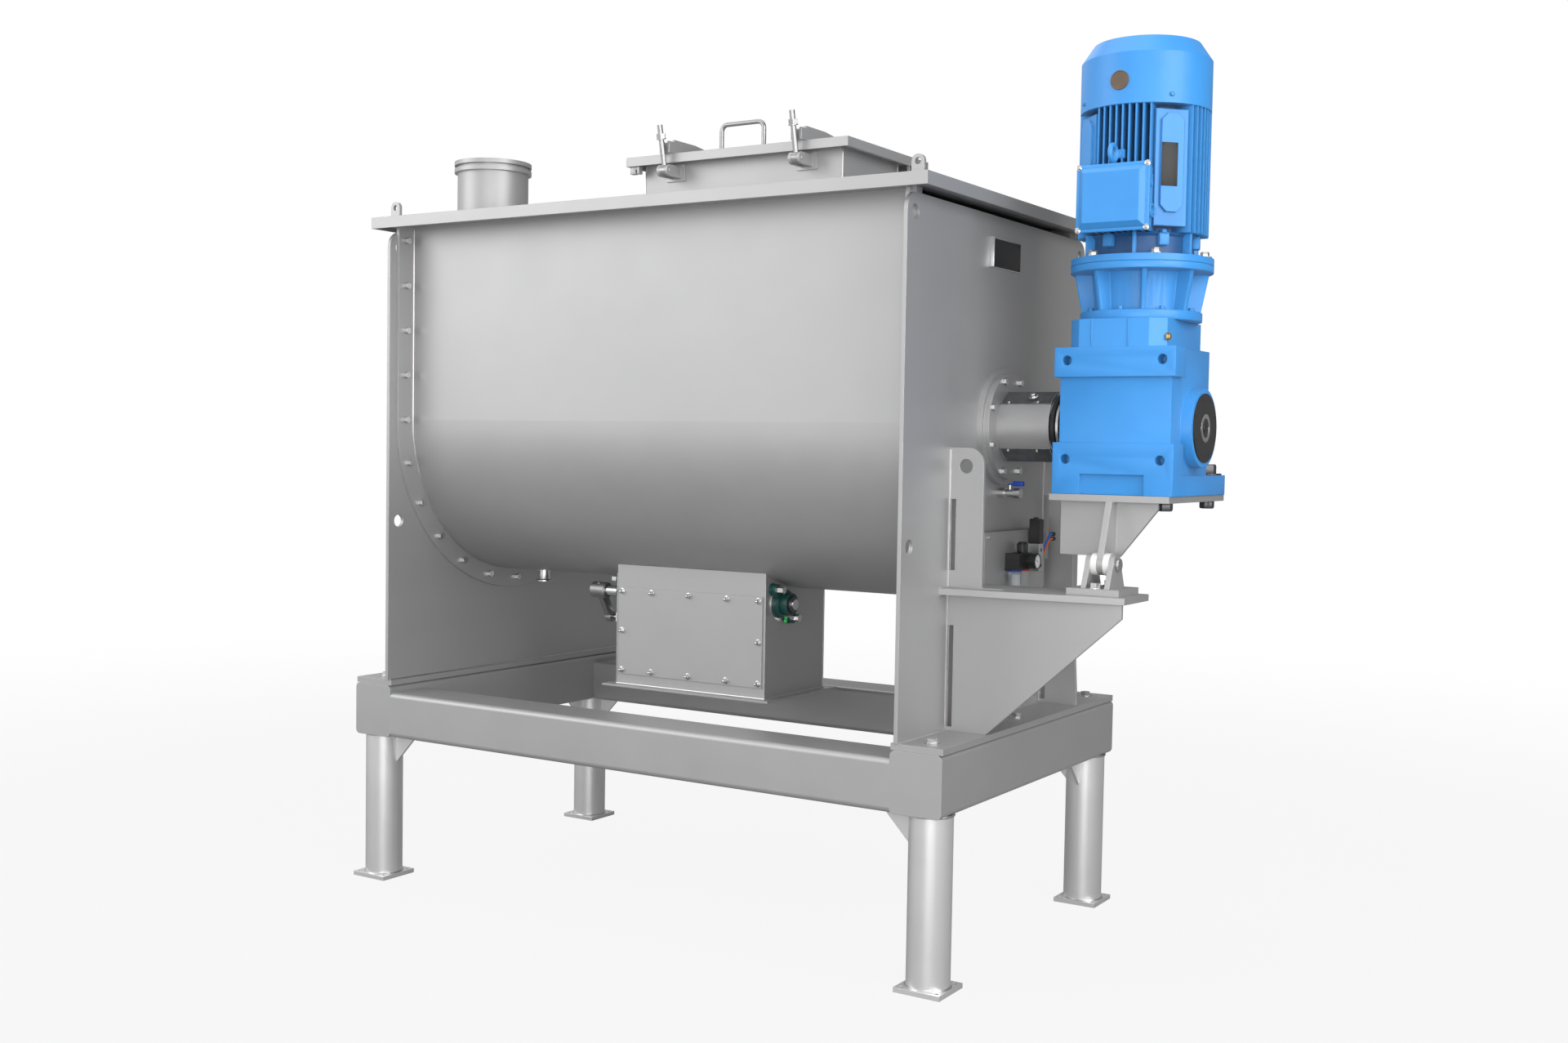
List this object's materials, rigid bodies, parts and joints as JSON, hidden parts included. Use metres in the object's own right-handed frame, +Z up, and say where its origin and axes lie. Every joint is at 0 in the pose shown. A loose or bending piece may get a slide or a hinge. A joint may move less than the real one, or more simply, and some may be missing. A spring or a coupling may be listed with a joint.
{
  "type": "paddle mixer",
  "caption": "Single-shaft paddle mixer: U-shaped trough on a floor frame with hatch, inlet, bottom discharge flap and a side gear motor.",
  "frame": {"origin": "on the floor, at the centre of the four feet", "axes": "+X along the mixing shaft towards the drive, +Y to the back, away from the hatch's clamps, +Z up"},
  "size_m": [2.379, 1.11, 2.304],
  "materials": {
    "stainless": "bead-blasted satin",
    "polished_steel": "smooth satin",
    "fastener_steel": "bright",
    "lever_steel": "dark satin",
    "anodised": "anodised satin",
    "blue_paint": "gloss",
    "green_paint": "gloss",
    "gasket": "matt",
    "white_plastic": "satin",
    "dark_plastic": "satin",
    "blue_plastic": "gloss",
    "blue_tube": "gloss",
    "orange_tube": "gloss",
    "clear_bowl": "clear"
  },
  "bodies": {
    "machine": {"base_beams": "stainless", "base_rails": "stainless", "legs": "stainless", "end_plate_left": "stainless", "end_plate_right": "stainless", "trough_shell": "stainless", "trough_flange_nuts": "fastener_steel", "top_lid": "stainless", "lid_gasket": "gasket", "inlet_spigot": "stainless", "hatch_coaming": "stainless", "hatch_gasket": "gasket", "lid_brackets": "stainless", "discharge_box": "stainless", "access_panel": "stainless", "panel_nuts": "fastener_steel", "flap_bearings": "green_paint", "air_cylinder": "anodised", "drain_stub": "stainless", "seal_housing": "stainless", "outboard_bearing": "stainless", "shaft_guard": "stainless", "guard_windows": "dark_plastic", "purge_valve": "polished_steel", "gearbox_housing": "blue_paint", "output_covers": "dark_plastic", "lantern": "blue_paint", "motor_frame": "blue_paint", "terminal_box": "blue_paint", "fan_cover": "blue_paint", "lifting_eye": "blue_paint", "torque_arm": "stainless", "torque_bushes": "white_plastic", "torque_clevis": "stainless", "bracket_shelf": "stainless", "bracket_ribs": "stainless", "service_panel": "stainless", "filter_regulator": "dark_plastic", "filter_bowls": "clear_bowl", "pressure_gauge": "dark_plastic", "solenoid_valve": "anodised", "air_tube_1": "blue_tube", "air_tube_2": "orange_tube", "frame_fasteners": "fastener_steel"},
    "rotor": {"mixer_shaft": "stainless", "paddle_arms": "stainless", "mixing_paddles": "stainless"},
    "fan": {"motor_fan": "dark_plastic"},
    "hatch": {"hatch_lid": "stainless", "hatch_handle": "polished_steel", "hatch_fittings": "stainless", "hinge_pins": "polished_steel"},
    "clamp_left": {"swing_bolt_left": "fastener_steel"},
    "clamp_right": {"swing_bolt_right": "fastener_steel"},
    "flap": {"flap_door": "stainless", "flap_shaft": "polished_steel", "flap_lever": "lever_steel"},
    "piston": {"cylinder_rod": "polished_steel"},
    "valve_handle": {"purge_valve_handle": "blue_plastic"},
    "knob": {"regulator_knob": "dark_plastic"}
  },
  "joints": [
    {"name": "rotor_spin", "type": "hinge", "parent": "machine", "child": "rotor", "pos_m": [0, 0, 1.36], "axis": [1, 0, 0], "continuous": true},
    {"name": "motor_spin", "type": "hinge", "parent": "machine", "child": "fan", "pos_m": [1.226, 0, 2.2], "axis": [0, 0, 1], "continuous": true},
    {"name": "hatch_open", "type": "hinge", "parent": "machine", "child": "hatch", "pos_m": [0.275, -0.082, 2.038], "axis": [-1, 0, 0], "range_deg": [0, 95]},
    {"name": "swing_bolt_left_tilt", "type": "hinge", "parent": "machine", "child": "clamp_left", "pos_m": [0.07, -0.446, 2.022], "axis": [1, 0, 0], "range_deg": [-12.5, 100]},
    {"name": "swing_bolt_right_tilt", "type": "hinge", "parent": "machine", "child": "clamp_right", "pos_m": [0.48, -0.446, 2.022], "axis": [1, 0, 0], "range_deg": [-12.5, 100]},
    {"name": "flap_open", "type": "hinge", "parent": "machine", "child": "flap", "pos_m": [0, -0.137, 0.864], "axis": [-1, 0, 0], "range_deg": [0, 60]},
    {"name": "rod_slide", "type": "slide", "parent": "machine", "child": "piston", "axis": [0, -1, 0], "range_m": [0, 0.095]},
    {"name": "purge_valve_turn", "type": "hinge", "parent": "machine", "child": "valve_handle", "pos_m": [0.883, -0.006, 1.21], "axis": [0, 0, 1], "range_deg": [0, 90]},
    {"name": "regulator_turn", "type": "hinge", "parent": "machine", "child": "knob", "pos_m": [0.889, 0.069, 1.04], "axis": [0, 0, 1], "range_deg": [0, 270]}
  ],
  "couplings": [
    {"joint": "rod_slide", "follows": "flap_open", "m_per_rad": 0.0907},
    {"joint": "motor_spin", "follows": "rotor_spin", "ratio": 25}
  ]
}
